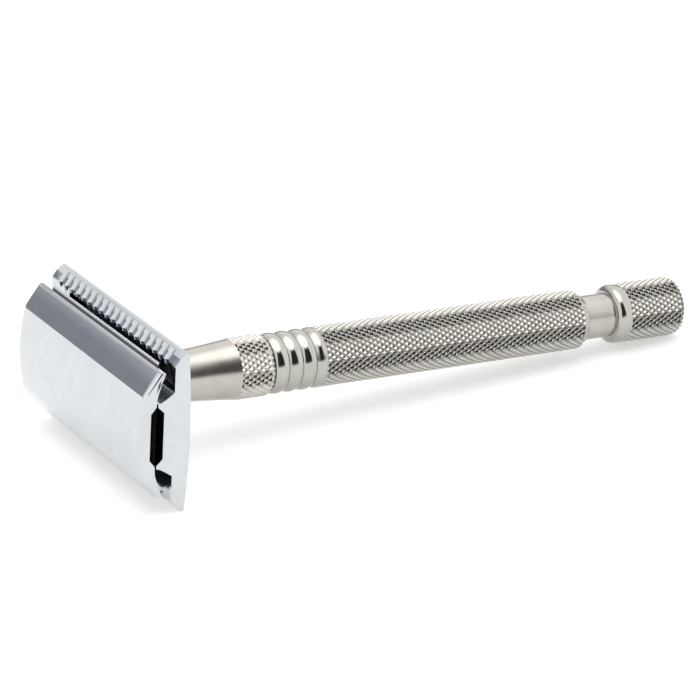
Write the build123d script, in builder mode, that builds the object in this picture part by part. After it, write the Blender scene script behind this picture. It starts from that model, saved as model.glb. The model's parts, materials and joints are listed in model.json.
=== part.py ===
"""A long-handled safety razor for double-edge blades, lying at rest on a table.

The razor's own axis runs along the handle. Distances along it are "u": zero at the
guard edges, negative towards the crown of the cap, positive towards the knob.
Distances across the head are "v". The head is as long as the blade, along world Y.
All sizes are in millimetres.
"""
from build123d import *
from math import asin, atan2, cos, degrees, hypot, isclose, radians, sin
import os

os.makedirs("parts", exist_ok=True)

# ---------------------------------------------------------------- head sizes
HEAD_LENGTH = 44.0            # of the plate and of the middle of the cap
GUARD_SPAN = 25.8             # from one guard edge to the other
PLATE_BACK = 0.9              # the back of the plate, at its middle
PLATE_BACK_RADIUS = 128.0     # the back is a very shallow arch
GUARD_TIP = -0.1              # where the outer guard facet starts
GUARD_CREASE_U = -1.2         # the two guard facets meet here
GUARD_CREASE_INSET = 0.78     # how far the crease lies inside the guard edge
CHANNEL_FLOOR = -1.99         # the lather channel's raised floor
CHANNEL_OUTER_INSET = 1.88    # the channel's outer wall, inside the guard edge
CHANNEL_INNER = 6.81          # the channel's inner side, from the middle
RAMP_FOOT = (-3.12, 6.04)     # the ramp from the channel up to the platform
RAMP_TOP = (-4.08, 5.47)
PLATFORM = -4.70              # the two lands that the blade lies on
PLATFORM_INNER = 4.77
PLATFORM_OUTER = 5.30
PLATE_RECESS = -3.67          # the bottom of the hollow between the lands
RECESS_HALF_WIDTH = 3.77
TROUGH_LENGTH = 31.0          # the deep part of the channel, for the lather
TROUGH_INNER = 7.35
TROUGH_OUTER_WALL = 0.45      # from the trough to the channel's outer wall
TROUGH_FLOOR = -0.45
TROUGH_CORNER_RADIUS = 0.6

COMB_COUNT = 19               # scallops along each guard
COMB_PITCH = 2.09
COMB_RADIUS = 0.95
COMB_DEPTH = 0.38             # of a scallop at the channel
COMB_RUN_OUT = 0.37           # the share of the outer facet that stays whole

BLADE_WIDTH = 22.0            # the standard double-edge blade, laid flat
BLADE_LENGTH = 43.0
BLADE_THICKNESS = 0.10
BLADE_EDGE_LENGTH = 37.4      # the cutting edge, between the corner notches
BLADE_TAB_WIDTH = 12.6        # the blade's ends, between the corner notches
BLADE_FLAT = 5.2              # from the middle to where the clamped blade bends
BLADE_BEND_RADIUS = 6.0
BLADE_BEND_ANGLE = 20.0
BLADE_SLOT_WIDTH = 2.6
BLADE_SLOT_LENGTH = 36.0
BLADE_SEAT_GAP = 0.08         # from the platform to the blade
BLADE_CAP_GAP = 0.10          # from the blade to the underside of the cap
BLADE_HOLE_GAP = 0.35         # round the stud and the posts

CAP_APEX = -7.78              # the crown, at its middle
CROWN_EDGE = (-6.86, 7.15)    # where the crown meets the bevel
BEVEL_EDGE = (-4.66, 10.16)   # where the bevel meets the face of the lip
LIP_HALF_WIDTH = 10.11
CAP_RECESS = -5.90            # the hollow in the underside of the cap
LAND_INNER = 4.92
CAP_END_RADIUS = 0.9          # the rolled end edges of crown and bevels

STUD_DIAMETER = 4.0           # M4 x 0.7, made as its plain outer cylinder
STUD_PITCH = 0.7
STUD_SEAT = 1.0               # how deep the stud and the posts sit in the cap
POST_DIAMETER = 3.4
POST_SPACING = 22.0
POST_END = -0.4
POST_CHAMFER = 0.35
BOSS_WALL = 1.3               # of the bosses in the cap round stud and posts
BOSS_END = -5.25
STUD_HOLE_GAP = 0.15
POST_HOLE_GAP = 0.08
CAP_LIFT = 5.6                # eight turns of the stud
THREAD_LEFT = 2.4             # the thread that still holds at full lift

# -------------------------------------------------------------- handle sizes
NECK_LENGTH = 18.0            # from the back of the plate to the collar
NECK_SHOULDER = 0.4           # the neck's step out from its spigot
NECK_FLARE_RADIUS = 155.0     # the long hollow curve of the neck
COLLAR_DIAMETER = 10.1
COLLAR_LENGTH = 6.25
COLLAR_CHAMFER = 0.35
RING_COUNT = 3
RING_PITCH = 2.47
RING_DIAMETER = 9.95
RING_GROOVE_DEPTH = 0.42
GRIP_DIAMETER = 9.9
GRIP_LENGTH = 51.64
GRIP_NOSE_LENGTH = 0.9        # the rounded start of the grip
GRIP_NOSE_BULGE = 0.066       # how far the rounding swells from a straight cone
GRIP_CHAMFER = 1.3
GRIP_CHAMFER_RISE = 0.78
STEM_DIAMETER = 7.4           # the smooth neck in front of the knob
STEM_SHOWN = 5.3
KNOB_DIAMETER = 9.9
KNOB_LENGTH = 13.8
KNOB_SHOULDER_RADIUS = 1.25
KNOB_END_RADIUS = 1.9

SOCKET_START = -0.8           # the threaded socket that draws the stud
SOCKET_WALL = 0.95
SOCKET_ROOM = 1.4             # past the stud's end, in the socket
FLANGE_START = 8.5            # the flange that carries the socket's pull
FLANGE_WIDTH = 1.2
FLANGE_RIM = 0.45             # the flange's step out from the socket
FLANGE_GAP = 0.2              # from the flange to the bore round it
SOCKET_TAIL_LENGTH = 5.7
SOCKET_TAIL_WALL = 0.8
SPIGOT_WALL = 0.51            # the neck's front end, pressed into the plate
SPIGOT_DEPTH = 2.0
WASHER_THICKNESS = 0.5
SPRING_HEIGHT = 0.8
SPRING_WALL = 0.15
CORE_WALL = 0.8               # the tube that carries collar, rings and grip
ROD_DIAMETER = 3.6
ROD_SETBACK = 1.7             # from the flange to the rod's front end
PIN_DIAMETER = 1.2
SOCKET_PIN_INSET = 2.0        # from the rod's front end to its pin
GUIDE_SETBACK = 34.4          # from the tube's front end to the guide
GUIDE_LENGTH = 5.0
BUSH_LENGTH = 4.2
BUSH_INSET = 3.6              # from the grip's rear end to the bush
BUSH_CLEARANCE = 0.4          # from the bush to the tube, and to the journal's start
JOURNAL_WALL = 0.7            # the part of the stem that turns in the bush
STEM_CLEARANCE = 0.6          # from the bush to the stem's full diameter
STEM_TAIL_LENGTH = 6.9        # the stem's rear end, pressed into the knob
STEM_TAIL_WALL = 1.2
STEM_PIN_INSET = 3.9          # from the knob's front face to the pin
ROD_REACH = 8.0               # how far the rod runs into the knob
SEAL_SECTION = 1.0
SEAL_INSET = 1.6              # from the grip's rear end to the seal
SEAL_GROOVE_DEPTH = 0.8

RUNNING_GAP = 0.04            # between parts that turn inside each other
STEM_GAP = 0.10               # the dark ring round the stem
END_PLAY = 0.10               # between faces that turn on each other

# ------------------------------------------------- places along the handle
neck_end = PLATE_BACK + NECK_LENGTH
collar_end = neck_end + COLLAR_LENGTH
rings_end = collar_end + RING_COUNT * RING_PITCH
grip_end = rings_end + GRIP_LENGTH
knob_start = grip_end + STEM_SHOWN
knob_end = knob_start + KNOB_LENGTH

stud_end = SOCKET_START + CAP_LIFT + THREAD_LEFT
socket_thread_end = stud_end + SOCKET_ROOM
washer_start = FLANGE_START - WASHER_THICKNESS
flange_end = FLANGE_START + FLANGE_WIDTH
socket_tail_end = flange_end + SOCKET_TAIL_LENGTH
core_start = flange_end + END_PLAY + SPRING_HEIGHT
rod_start = flange_end + ROD_SETBACK
socket_pin_u = rod_start + SOCKET_PIN_INSET
guide_start = core_start + GUIDE_SETBACK
bush_end = grip_end - BUSH_INSET
bush_start = bush_end - BUSH_LENGTH
core_end = bush_start - BUSH_CLEARANCE
journal_start = bush_start + BUSH_CLEARANCE
stem_start = bush_end + STEM_CLEARANCE
seal_u = grip_end - SEAL_INSET
stem_pin_u = knob_start + STEM_PIN_INSET
stem_tail_end = knob_start + STEM_TAIL_LENGTH
rod_end = knob_start + ROD_REACH

# ---------------------------------------------------------- fits, as radii
stud_radius = STUD_DIAMETER / 2
socket_radius = stud_radius + SOCKET_WALL
socket_bore = socket_radius + RUNNING_GAP
flange_radius = socket_radius + FLANGE_RIM
core_radius = flange_radius + FLANGE_GAP
core_bore = core_radius - CORE_WALL
spigot_radius = socket_bore + SPIGOT_WALL
neck_front = spigot_radius + NECK_SHOULDER
rod_radius = ROD_DIAMETER / 2
socket_tail = rod_radius + SOCKET_TAIL_WALL
journal_radius = rod_radius + JOURNAL_WALL
stem_radius = STEM_DIAMETER / 2
stem_bore = stem_radius + STEM_GAP
stem_tail = rod_radius + STEM_TAIL_WALL
grip_radius = GRIP_DIAMETER / 2
knob_radius = KNOB_DIAMETER / 2

# --------------------------------------------------------- the resting frame
# The razor rests on the lower guard edge and on the knob's lower rim. Both are
# rounded, so the table touches two circles, and the tilt follows from them.
GUARD_EDGE_RADIUS = 0.15
guard_half = GUARD_SPAN / 2
plate_back_edge = PLATE_BACK - guard_half**2 / (2 * PLATE_BACK_RADIUS)
guard_contact = (GUARD_TIP + GUARD_EDGE_RADIUS, guard_half - GUARD_EDGE_RADIUS)
knob_contact = (knob_end - KNOB_END_RADIUS, knob_radius - KNOB_END_RADIUS)
contact_run = knob_contact[0] - guard_contact[0]
contact_rise = guard_contact[1] - knob_contact[1]
radius_gain = KNOB_END_RADIUS - GUARD_EDGE_RADIUS
TILT = atan2(contact_rise, contact_run) - asin(radius_gain / hypot(contact_run, contact_rise))

crown_radius = (CROWN_EDGE[1]**2 + (CROWN_EDGE[0] - CAP_APEX)**2) / (2 * (CROWN_EDGE[0] - CAP_APEX))
crown_centre = CAP_APEX + crown_radius
front_reach = crown_radius - crown_centre * cos(TILT)
rear_reach = knob_contact[0] * cos(TILT) + knob_contact[1] * sin(TILT) + KNOB_END_RADIUS
axis_height = guard_contact[1] * cos(TILT) + GUARD_EDGE_RADIUS + guard_contact[0] * sin(TILT)
razor_origin = Vector((front_reach - rear_reach) / 2, 0, axis_height)
handle_way = Vector(cos(TILT), 0, -sin(TILT))

# The side plane holds every profile: its x is u and its y is v.
side = Plane(origin=razor_origin, x_dir=handle_way, z_dir=(0, -1, 0))
handle_axis = Axis(razor_origin, handle_way)


def across(u, v=0.0, y=0.0):
    """A plane square to the handle at u, moved v up the head and y along it."""
    at = side.from_local_coords((u, v, -y))
    return Plane(origin=at, x_dir=(0, 1, 0), z_dir=handle_way)


def cross_plane(u):
    """The plane of a cross pin's section: the pin runs along the head's length."""
    return Plane(origin=side.from_local_coords((u, 0)), x_dir=handle_way, z_dir=(0, 1, 0))


def finish(piece, name):
    """Label a finished piece and write it."""
    piece.part.label = name
    export_step(piece.part, f"parts/{name}.step")


# ------------------------------------------------------------ the base plate
channel_outer = guard_half - CHANNEL_OUTER_INSET
guard_crease = (GUARD_CREASE_U, guard_half - GUARD_CREASE_INSET)
plate_outline = [
    (plate_back_edge, guard_half),
    (GUARD_TIP, guard_half),
    guard_crease,
    (CHANNEL_FLOOR, channel_outer),
    (CHANNEL_FLOOR, CHANNEL_INNER),
    RAMP_FOOT,
    RAMP_TOP,
    (PLATFORM, PLATFORM_OUTER),
    (PLATFORM, PLATFORM_INNER),
    (PLATE_RECESS, RECESS_HALF_WIDTH),
]
plate_far_side = [(u, -v) for u, v in reversed(plate_outline)]

# Each scallop is a round groove. It starts out at a point on the outer facet and
# deepens towards the channel.
run_out_u = GUARD_TIP + COMB_RUN_OUT * (guard_crease[0] - GUARD_TIP)
run_out_v = guard_half + COMB_RUN_OUT * (guard_crease[1] - guard_half)
facet_run = guard_crease[0] - CHANNEL_FLOOR
facet_rise = guard_crease[1] - channel_outer
facet_length = hypot(facet_run, facet_rise)
deep_u = CHANNEL_FLOOR + COMB_DEPTH * facet_rise / facet_length
deep_v = channel_outer - COMB_DEPTH * facet_run / facet_length
groove_length = hypot(run_out_u - deep_u, run_out_v - deep_v)
groove_u = (run_out_u - deep_u) / groove_length
groove_v = (run_out_v - deep_v) / groove_length


def comb_plane(sign):
    """The plane square to the scallops where they are deepest."""
    middle_u = deep_u - COMB_RADIUS * groove_v
    middle_v = deep_v + COMB_RADIUS * groove_u
    at = side.from_local_coords((middle_u, sign * middle_v))
    beyond = side.from_local_coords((middle_u + groove_u, sign * (middle_v + groove_v)))
    return Plane(origin=at, x_dir=(0, 1, 0), z_dir=beyond - at)


trough_outer = channel_outer - TROUGH_OUTER_WALL
trough_width = trough_outer - TROUGH_INNER
trough_middle = (trough_outer + TROUGH_INNER) / 2

with BuildPart() as base_plate:
    with BuildSketch(side):
        with BuildLine():
            ThreePointArc(plate_far_side[-1], (PLATE_BACK, 0), plate_outline[0])
            Polyline(*plate_outline, *plate_far_side)
        make_face()
    extrude(amount=HEAD_LENGTH / 2, both=True)
    long_edges = base_plate.edges().filter_by(Axis.Y)
    guard_edges = long_edges.filter_by(lambda e: abs(side.to_local_coords(e.center()).Y) > guard_crease[1])
    fillet(guard_edges, GUARD_EDGE_RADIUS)
    for sign in (1, -1):
        with BuildSketch(comb_plane(sign)):
            with GridLocations(COMB_PITCH, 1, COMB_COUNT, 1):
                Circle(COMB_RADIUS)
        extrude(amount=2 * groove_length, both=True, mode=Mode.SUBTRACT)
        with BuildSketch(across(TROUGH_FLOOR, sign * trough_middle)):
            RectangleRounded(TROUGH_LENGTH, trough_width, TROUGH_CORNER_RADIUS)
        extrude(amount=2 * (CHANNEL_FLOOR - TROUGH_FLOOR), mode=Mode.SUBTRACT)
    with BuildSketch(across(PLATE_BACK)):
        Circle(stud_radius + STUD_HOLE_GAP)
        with GridLocations(POST_SPACING, 1, 2, 1):
            Circle(POST_DIAMETER / 2 + POST_HOLE_GAP)
    extrude(amount=-2 * (PLATE_BACK - PLATFORM), both=True, mode=Mode.SUBTRACT)
    with BuildSketch(across(PLATE_BACK - SPIGOT_DEPTH)):
        Circle(spigot_radius)
    extrude(amount=2 * SPIGOT_DEPTH, mode=Mode.SUBTRACT)
finish(base_plate, "base_plate")

# ----------------------------------------------------------------- the blade
# The clamped blade is flat in the middle, bends over the platforms and then runs
# straight out to its edges. bend_points gives that line at a chosen depth.
blade_middle = PLATFORM - BLADE_SEAT_GAP - BLADE_THICKNESS / 2
bend = radians(BLADE_BEND_ANGLE)
blade_straight = BLADE_WIDTH / 2 - BLADE_FLAT - BLADE_BEND_RADIUS * bend


def bent_line(sign, offset, straight):
    """Bend start, middle and end, and the outer end, offset towards the crown."""
    radius = BLADE_BEND_RADIUS + offset
    centre = blade_middle + BLADE_BEND_RADIUS

    def on_bend(angle):
        return (centre - radius * cos(angle), sign * (BLADE_FLAT + radius * sin(angle)))

    bend_end = on_bend(bend)
    outer = (bend_end[0] + straight * sin(bend), bend_end[1] + sign * straight * cos(bend))
    return on_bend(0), on_bend(bend / 2), bend_end, outer


half_blade = BLADE_THICKNESS / 2
top_far = bent_line(-1, half_blade, blade_straight)
top_near = bent_line(1, half_blade, blade_straight)
under_far = bent_line(-1, -half_blade, blade_straight)
under_near = bent_line(1, -half_blade, blade_straight)
notch_depth = (BLADE_LENGTH - BLADE_EDGE_LENGTH) / 2
notch_middle = (BLADE_LENGTH + BLADE_EDGE_LENGTH) / 4
notch_span = GUARD_SPAN - BLADE_TAB_WIDTH

with BuildPart() as razor_blade:
    with BuildSketch(side):
        with BuildLine():
            Line(top_far[0], top_near[0])
            ThreePointArc(*top_near[:3])
            Line(top_near[2], top_near[3])
            Line(top_near[3], under_near[3])
            Line(under_near[3], under_near[2])
            ThreePointArc(*reversed(under_near[:3]))
            Line(under_near[0], under_far[0])
            ThreePointArc(*under_far[:3])
            Line(under_far[2], under_far[3])
            Line(under_far[3], top_far[3])
            Line(top_far[3], top_far[2])
            ThreePointArc(*reversed(top_far[:3]))
        make_face()
    extrude(amount=BLADE_LENGTH / 2, both=True)
    with BuildSketch(across(blade_middle)):
        SlotOverall(BLADE_SLOT_LENGTH, BLADE_SLOT_WIDTH)
        Circle(stud_radius + BLADE_HOLE_GAP)
        with GridLocations(POST_SPACING, 1, 2, 1):
            Circle(POST_DIAMETER / 2 + BLADE_HOLE_GAP)
        with GridLocations(2 * notch_middle, GUARD_SPAN, 2, 2):
            Rectangle(notch_depth, notch_span)
    extrude(amount=BLADE_BEND_RADIUS, both=True, mode=Mode.SUBTRACT)
finish(razor_blade, "razor_blade")

# ------------------------------------------------------------------- the cap
cap_offset = half_blade + BLADE_CAP_GAP
land_near, land_bend, land_end, _ = bent_line(1, cap_offset, 0)
underside_straight = (LIP_HALF_WIDTH - land_end[1]) / cos(bend)
lip_tip = bent_line(1, cap_offset, underside_straight)[3]
cap_land = blade_middle - cap_offset


def mirrored(point):
    """The same point on the other side of the razor."""
    return (point[0], -point[1])


def runs_across_an_end(edge):
    """Whether an edge is the crown's or a bevel's, at one end of the cap."""
    at = side.to_local_coords(edge.center())
    at_end = isclose(abs(at.Z), HEAD_LENGTH / 2)
    of_crown = at.X < CROWN_EDGE[0]
    of_bevel = at.X < BEVEL_EDGE[0] and abs(at.Y) > CROWN_EDGE[1]
    return at_end and (of_crown or of_bevel)


with BuildPart() as top_cap:
    with BuildSketch(side):
        with BuildLine():
            ThreePointArc(mirrored(CROWN_EDGE), (CAP_APEX, 0), CROWN_EDGE)
            Polyline(CROWN_EDGE, BEVEL_EDGE, lip_tip, land_end)
            ThreePointArc(land_end, land_bend, land_near)
            Polyline(
                land_near,
                (cap_land, LAND_INNER),
                (CAP_RECESS, RECESS_HALF_WIDTH),
                (CAP_RECESS, -RECESS_HALF_WIDTH),
                (cap_land, -LAND_INNER),
                mirrored(land_near),
            )
            ThreePointArc(mirrored(land_near), mirrored(land_bend), mirrored(land_end))
            Polyline(mirrored(land_end), mirrored(lip_tip), mirrored(BEVEL_EDGE), mirrored(CROWN_EDGE))
        make_face()
    extrude(amount=HEAD_LENGTH / 2, both=True)
    fillet(top_cap.edges().filter_by(runs_across_an_end), CAP_END_RADIUS)
    with BuildSketch(across(BOSS_END)):
        Circle(stud_radius + BOSS_WALL)
        with GridLocations(POST_SPACING, 1, 2, 1):
            Circle(POST_DIAMETER / 2 + BOSS_WALL)
    extrude(amount=CAP_RECESS - STUD_SEAT / 2 - BOSS_END)
    with BuildSketch(across(CAP_RECESS - STUD_SEAT)):
        Circle(stud_radius)
        with GridLocations(POST_SPACING, 1, 2, 1):
            Circle(POST_DIAMETER / 2)
    extrude(amount=2 * STUD_SEAT + BOSS_END - CAP_RECESS, mode=Mode.SUBTRACT)
finish(top_cap, "top_cap")

with BuildPart() as cap_stud:
    with BuildSketch(across(CAP_RECESS - STUD_SEAT)):
        Circle(stud_radius)
    extrude(amount=stud_end - CAP_RECESS + STUD_SEAT)
    chamfer(cap_stud.faces().sort_by(handle_axis)[-1].edges(), STUD_PITCH / 2)
finish(cap_stud, "cap_stud")


def make_guide_post(y):
    """One of the two posts that keep blade, cap and plate in line."""
    with BuildPart() as post:
        with BuildSketch(across(CAP_RECESS - STUD_SEAT, 0, y)):
            Circle(POST_DIAMETER / 2)
        extrude(amount=POST_END - CAP_RECESS + STUD_SEAT)
        chamfer(post.faces().sort_by(handle_axis)[-1].edges(), POST_CHAMFER)
    return post


finish(make_guide_post(-POST_SPACING / 2), "guide_post_near")
finish(make_guide_post(POST_SPACING / 2), "guide_post_far")

# ---------------------------------------------------------------- the handle


def turned(points):
    """A piece of revolution from its (u, radius) outline."""
    with BuildPart() as piece:
        with BuildSketch(side):
            with BuildLine():
                Polyline(*points, close=True)
            make_face()
        revolve(axis=handle_axis)
    return piece


neck_flare = NECK_LENGTH**2 / (2 * NECK_FLARE_RADIUS)
neck_half_flare = neck_flare / 4

with BuildPart() as neck_cone:
    with BuildSketch(side):
        with BuildLine():
            ThreePointArc(
                (PLATE_BACK, neck_front),
                ((PLATE_BACK + neck_end) / 2, neck_front + neck_half_flare),
                (neck_end, neck_front + neck_flare),
            )
            Polyline(
                (neck_end, neck_front + neck_flare),
                (neck_end, core_radius),
                (washer_start, core_radius),
                (washer_start, socket_bore),
                (PLATE_BACK - SPIGOT_DEPTH, socket_bore),
                (PLATE_BACK - SPIGOT_DEPTH, spigot_radius),
                (PLATE_BACK, spigot_radius),
                (PLATE_BACK, neck_front),
            )
        make_face()
    revolve(axis=handle_axis)
finish(neck_cone, "neck_cone")

collar_radius = COLLAR_DIAMETER / 2
knurled_collar = turned([
    (neck_end, core_radius),
    (neck_end, collar_radius),
    (collar_end - COLLAR_CHAMFER, collar_radius),
    (collar_end, collar_radius - COLLAR_CHAMFER),
    (collar_end, core_radius),
])
finish(knurled_collar, "knurled_collar")

ring_crest = RING_DIAMETER / 2
ring_root = ring_crest - RING_GROOVE_DEPTH

with BuildPart() as ring_sleeve:
    with BuildSketch(side):
        with BuildLine():
            Polyline(
                (rings_end, ring_root),
                (rings_end, core_radius),
                (collar_end, core_radius),
                (collar_end, ring_root),
            )
            for ring in range(RING_COUNT):
                start = collar_end + ring * RING_PITCH
                middle = start + RING_PITCH / 2
                end = start + RING_PITCH
                ThreePointArc((start, ring_root), (middle, ring_crest), (end, ring_root))
        make_face()
    revolve(axis=handle_axis)
finish(ring_sleeve, "ring_sleeve")

nose_end = rings_end + GRIP_NOSE_LENGTH
nose_middle = rings_end + GRIP_NOSE_LENGTH / 2
nose_radius = (ring_root + grip_radius) / 2 + GRIP_NOSE_BULGE

with BuildPart() as grip_tube:
    with BuildSketch(side):
        with BuildLine():
            ThreePointArc((rings_end, ring_root), (nose_middle, nose_radius), (nose_end, grip_radius))
            Polyline(
                (nose_end, grip_radius),
                (grip_end - GRIP_CHAMFER, grip_radius),
                (grip_end, grip_radius - GRIP_CHAMFER_RISE),
                (grip_end, stem_bore),
                (bush_end, stem_bore),
                (bush_end, core_radius),
                (rings_end, core_radius),
                (rings_end, ring_root),
            )
        make_face()
    revolve(axis=handle_axis)
finish(grip_tube, "grip_tube")

core_tube = turned([
    (core_start, core_bore),
    (core_start, core_radius),
    (core_end, core_radius),
    (core_end, core_bore),
])
finish(core_tube, "core_tube")

rod_bore = rod_radius + RUNNING_GAP
rod_guide = turned([
    (guide_start, rod_bore),
    (guide_start, core_bore),
    (guide_start + GUIDE_LENGTH, core_bore),
    (guide_start + GUIDE_LENGTH, rod_bore),
])
finish(rod_guide, "rod_guide")

journal_bore = journal_radius + RUNNING_GAP
rear_bush = turned([
    (bush_start, journal_bore),
    (bush_start, core_radius),
    (bush_end, core_radius),
    (bush_end, journal_bore),
])
finish(rear_bush, "rear_bush")

washer_end = FLANGE_START - END_PLAY
thrust_washer = turned([
    (washer_start, socket_bore),
    (washer_start, core_radius),
    (washer_end, core_radius),
    (washer_end, socket_bore),
])
finish(thrust_washer, "thrust_washer")

# The spring keeps the flange up against the washer. It is drawn as a short cone.
spring_start = flange_end + END_PLAY
spring_inner = socket_tail + END_PLAY
spring_washer = turned([
    (spring_start, spring_inner),
    (spring_start + SPRING_WALL, spring_inner),
    (core_start, core_radius),
    (core_start - SPRING_WALL, core_radius),
])
finish(spring_washer, "spring_washer")

# ----------------------------------------------------------- the knob's drive
thread_bore = stud_radius + RUNNING_GAP

with BuildPart() as threaded_socket:
    with BuildSketch(side):
        with BuildLine():
            Polyline(
                (SOCKET_START, thread_bore),
                (SOCKET_START, socket_radius),
                (FLANGE_START, socket_radius),
                (FLANGE_START, flange_radius),
                (flange_end, flange_radius),
                (flange_end, socket_tail),
                (socket_tail_end, socket_tail),
                (socket_tail_end, rod_radius),
                (rod_start, rod_radius),
                (rod_start, 0),
                (socket_thread_end, 0),
                (socket_thread_end, thread_bore),
                close=True,
            )
        make_face()
    revolve(axis=handle_axis)
    with BuildSketch(cross_plane(socket_pin_u)):
        Circle(PIN_DIAMETER / 2)
    extrude(amount=2 * socket_tail, both=True, mode=Mode.SUBTRACT)
finish(threaded_socket, "threaded_socket")

with BuildPart() as drive_rod:
    with BuildSketch(across(rod_start)):
        Circle(rod_radius)
    extrude(amount=rod_end - rod_start)
    for pin_u in (socket_pin_u, stem_pin_u):
        with BuildSketch(cross_plane(pin_u)):
            Circle(PIN_DIAMETER / 2)
        extrude(amount=ROD_DIAMETER, both=True, mode=Mode.SUBTRACT)
finish(drive_rod, "drive_rod")


def make_cross_pin(u, half_length):
    """A cross pin that locks the rod to the piece round it."""
    with BuildPart() as pin:
        with BuildSketch(cross_plane(u)):
            Circle(PIN_DIAMETER / 2)
        extrude(amount=half_length, both=True)
    return pin


finish(make_cross_pin(socket_pin_u, socket_tail - END_PLAY / 2), "socket_pin")
finish(make_cross_pin(stem_pin_u, stem_tail - END_PLAY / 2), "stem_pin")

seal_groove = stem_radius - SEAL_GROOVE_DEPTH

with BuildPart() as knob_stem:
    with BuildSketch(side):
        with BuildLine():
            Polyline(
                (journal_start, rod_radius),
                (journal_start, journal_radius),
                (stem_start, journal_radius),
                (stem_start, stem_radius),
                (seal_u - SEAL_SECTION / 2, stem_radius),
                (seal_u - SEAL_SECTION / 2, seal_groove),
                (seal_u + SEAL_SECTION / 2, seal_groove),
                (seal_u + SEAL_SECTION / 2, stem_radius),
                (knob_start, stem_radius),
                (knob_start, stem_tail),
                (stem_tail_end, stem_tail),
                (stem_tail_end, rod_radius),
                close=True,
            )
        make_face()
    revolve(axis=handle_axis)
    with BuildSketch(cross_plane(stem_pin_u)):
        Circle(PIN_DIAMETER / 2)
    extrude(amount=2 * stem_tail, both=True, mode=Mode.SUBTRACT)
finish(knob_stem, "knob_stem")

seal_radius = (stem_bore - RUNNING_GAP - seal_groove) / 2
with BuildPart() as stem_seal:
    with BuildSketch(side):
        with Locations((seal_u, seal_groove + seal_radius)):
            Circle(seal_radius)
    revolve(axis=handle_axis)
finish(stem_seal, "stem_seal")

knob_floor = rod_end + END_PLAY

with BuildPart() as knob:
    with BuildSketch(side) as knob_section:
        with BuildLine():
            Polyline(
                (knob_start, stem_tail),
                (knob_start, knob_radius),
                (knob_end, knob_radius),
                (knob_end, 0),
                (knob_floor, 0),
                (knob_floor, stem_tail),
                close=True,
            )
        make_face()
        shoulder = knob_section.vertices().sort_by_distance((knob_start, knob_radius))[0]
        fillet(shoulder, KNOB_SHOULDER_RADIUS)
        end_corner = knob_section.vertices().sort_by_distance((knob_end, knob_radius))[0]
        fillet(end_corner, KNOB_END_RADIUS)
    revolve(axis=handle_axis)
finish(knob, "knob")

print(f"tilt {degrees(TILT):.6f} degrees, origin {razor_origin.X:.6f} {razor_origin.Z:.6f}")
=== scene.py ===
"""Looks of a long-handled safety razor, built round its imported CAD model.

The head is polished chrome, the handle satin steel with a diamond knurl. Pieces that
turn about the handle's axis are drawn in razor coordinates, in millimetres: x runs
along the handle from the guard edges, y along the head, z up across the head.
"""
import bpy
import bmesh
import json
from math import atan2, cos, pi, radians, sin
from mathutils import Matrix, Vector


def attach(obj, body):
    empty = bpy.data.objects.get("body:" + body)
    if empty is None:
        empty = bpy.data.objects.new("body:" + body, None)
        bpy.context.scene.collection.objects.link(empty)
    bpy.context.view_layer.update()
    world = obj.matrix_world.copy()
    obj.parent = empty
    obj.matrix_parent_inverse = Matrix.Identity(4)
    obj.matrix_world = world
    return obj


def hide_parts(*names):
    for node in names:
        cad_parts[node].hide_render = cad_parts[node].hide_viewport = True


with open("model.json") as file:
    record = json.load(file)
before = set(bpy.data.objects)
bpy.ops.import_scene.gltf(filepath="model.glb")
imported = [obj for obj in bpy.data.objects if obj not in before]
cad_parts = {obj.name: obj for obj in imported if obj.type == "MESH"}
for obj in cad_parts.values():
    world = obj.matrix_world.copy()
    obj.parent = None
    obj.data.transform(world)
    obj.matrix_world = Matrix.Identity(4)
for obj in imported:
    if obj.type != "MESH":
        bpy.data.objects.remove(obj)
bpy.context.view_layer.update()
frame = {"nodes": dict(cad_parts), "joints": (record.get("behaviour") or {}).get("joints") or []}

# ------------------------------------------------------------------ the frame
KNOB_END = 103.3              # the knob's end face, where the turning joint sits
MM = 0.001
turning = next(j for j in frame["joints"] if j["name"] == "knob_turn")
handle_way = Vector(turning["axis"])
razor_origin = Vector(turning["pos_m"]) - handle_way * KNOB_END * MM
tilt = atan2(-handle_way.z, handle_way.x)
to_world = Matrix.Translation(razor_origin) @ Matrix.Rotation(tilt, 4, "Y") @ Matrix.Scale(MM, 4)
node = frame["nodes"]

# ----------------------------------------------------------- material helpers
CLOUD_SCALE = 0.35            # of the slow change of colour and roughness
GRAIN_SHARE = 0.15            # how much of the roughness the surface marks change


def new_material(name):
    """An empty node material with its shader."""
    material = bpy.data.materials.new(name)
    material.use_nodes = True
    tree = material.node_tree
    return material, tree, tree.nodes["Principled BSDF"]


def add(tree, kind, **settings):
    """One node, with its properties set."""
    made = tree.nodes.new(kind)
    for key, value in settings.items():
        setattr(made, key, value)
    return made


def razor_coordinates(tree):
    """Object coordinates turned so that x runs along the handle."""
    source = add(tree, "ShaderNodeTexCoord")
    turned_back = add(tree, "ShaderNodeMapping", vector_type="TEXTURE")
    turned_back.inputs["Location"].default_value = razor_origin
    turned_back.inputs["Rotation"].default_value = (0, tilt, 0)
    turned_back.inputs["Scale"].default_value = (MM, MM, MM)
    tree.links.new(source.outputs["Object"], turned_back.inputs["Vector"])
    return turned_back.outputs["Vector"]


def stretched(tree, vector, scale):
    """Coordinates scaled by a different amount each way."""
    mapping = add(tree, "ShaderNodeMapping")
    mapping.inputs["Scale"].default_value = scale
    tree.links.new(vector, mapping.inputs["Vector"])
    return mapping.outputs["Vector"]


def noise(tree, vector, scale, detail, roughness=0.5):
    """A noise pattern's value."""
    made = add(tree, "ShaderNodeTexNoise")
    made.inputs["Scale"].default_value = scale
    made.inputs["Detail"].default_value = detail
    made.inputs["Roughness"].default_value = roughness
    tree.links.new(vector, made.inputs["Vector"])
    return made.outputs["Fac"]


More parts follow.
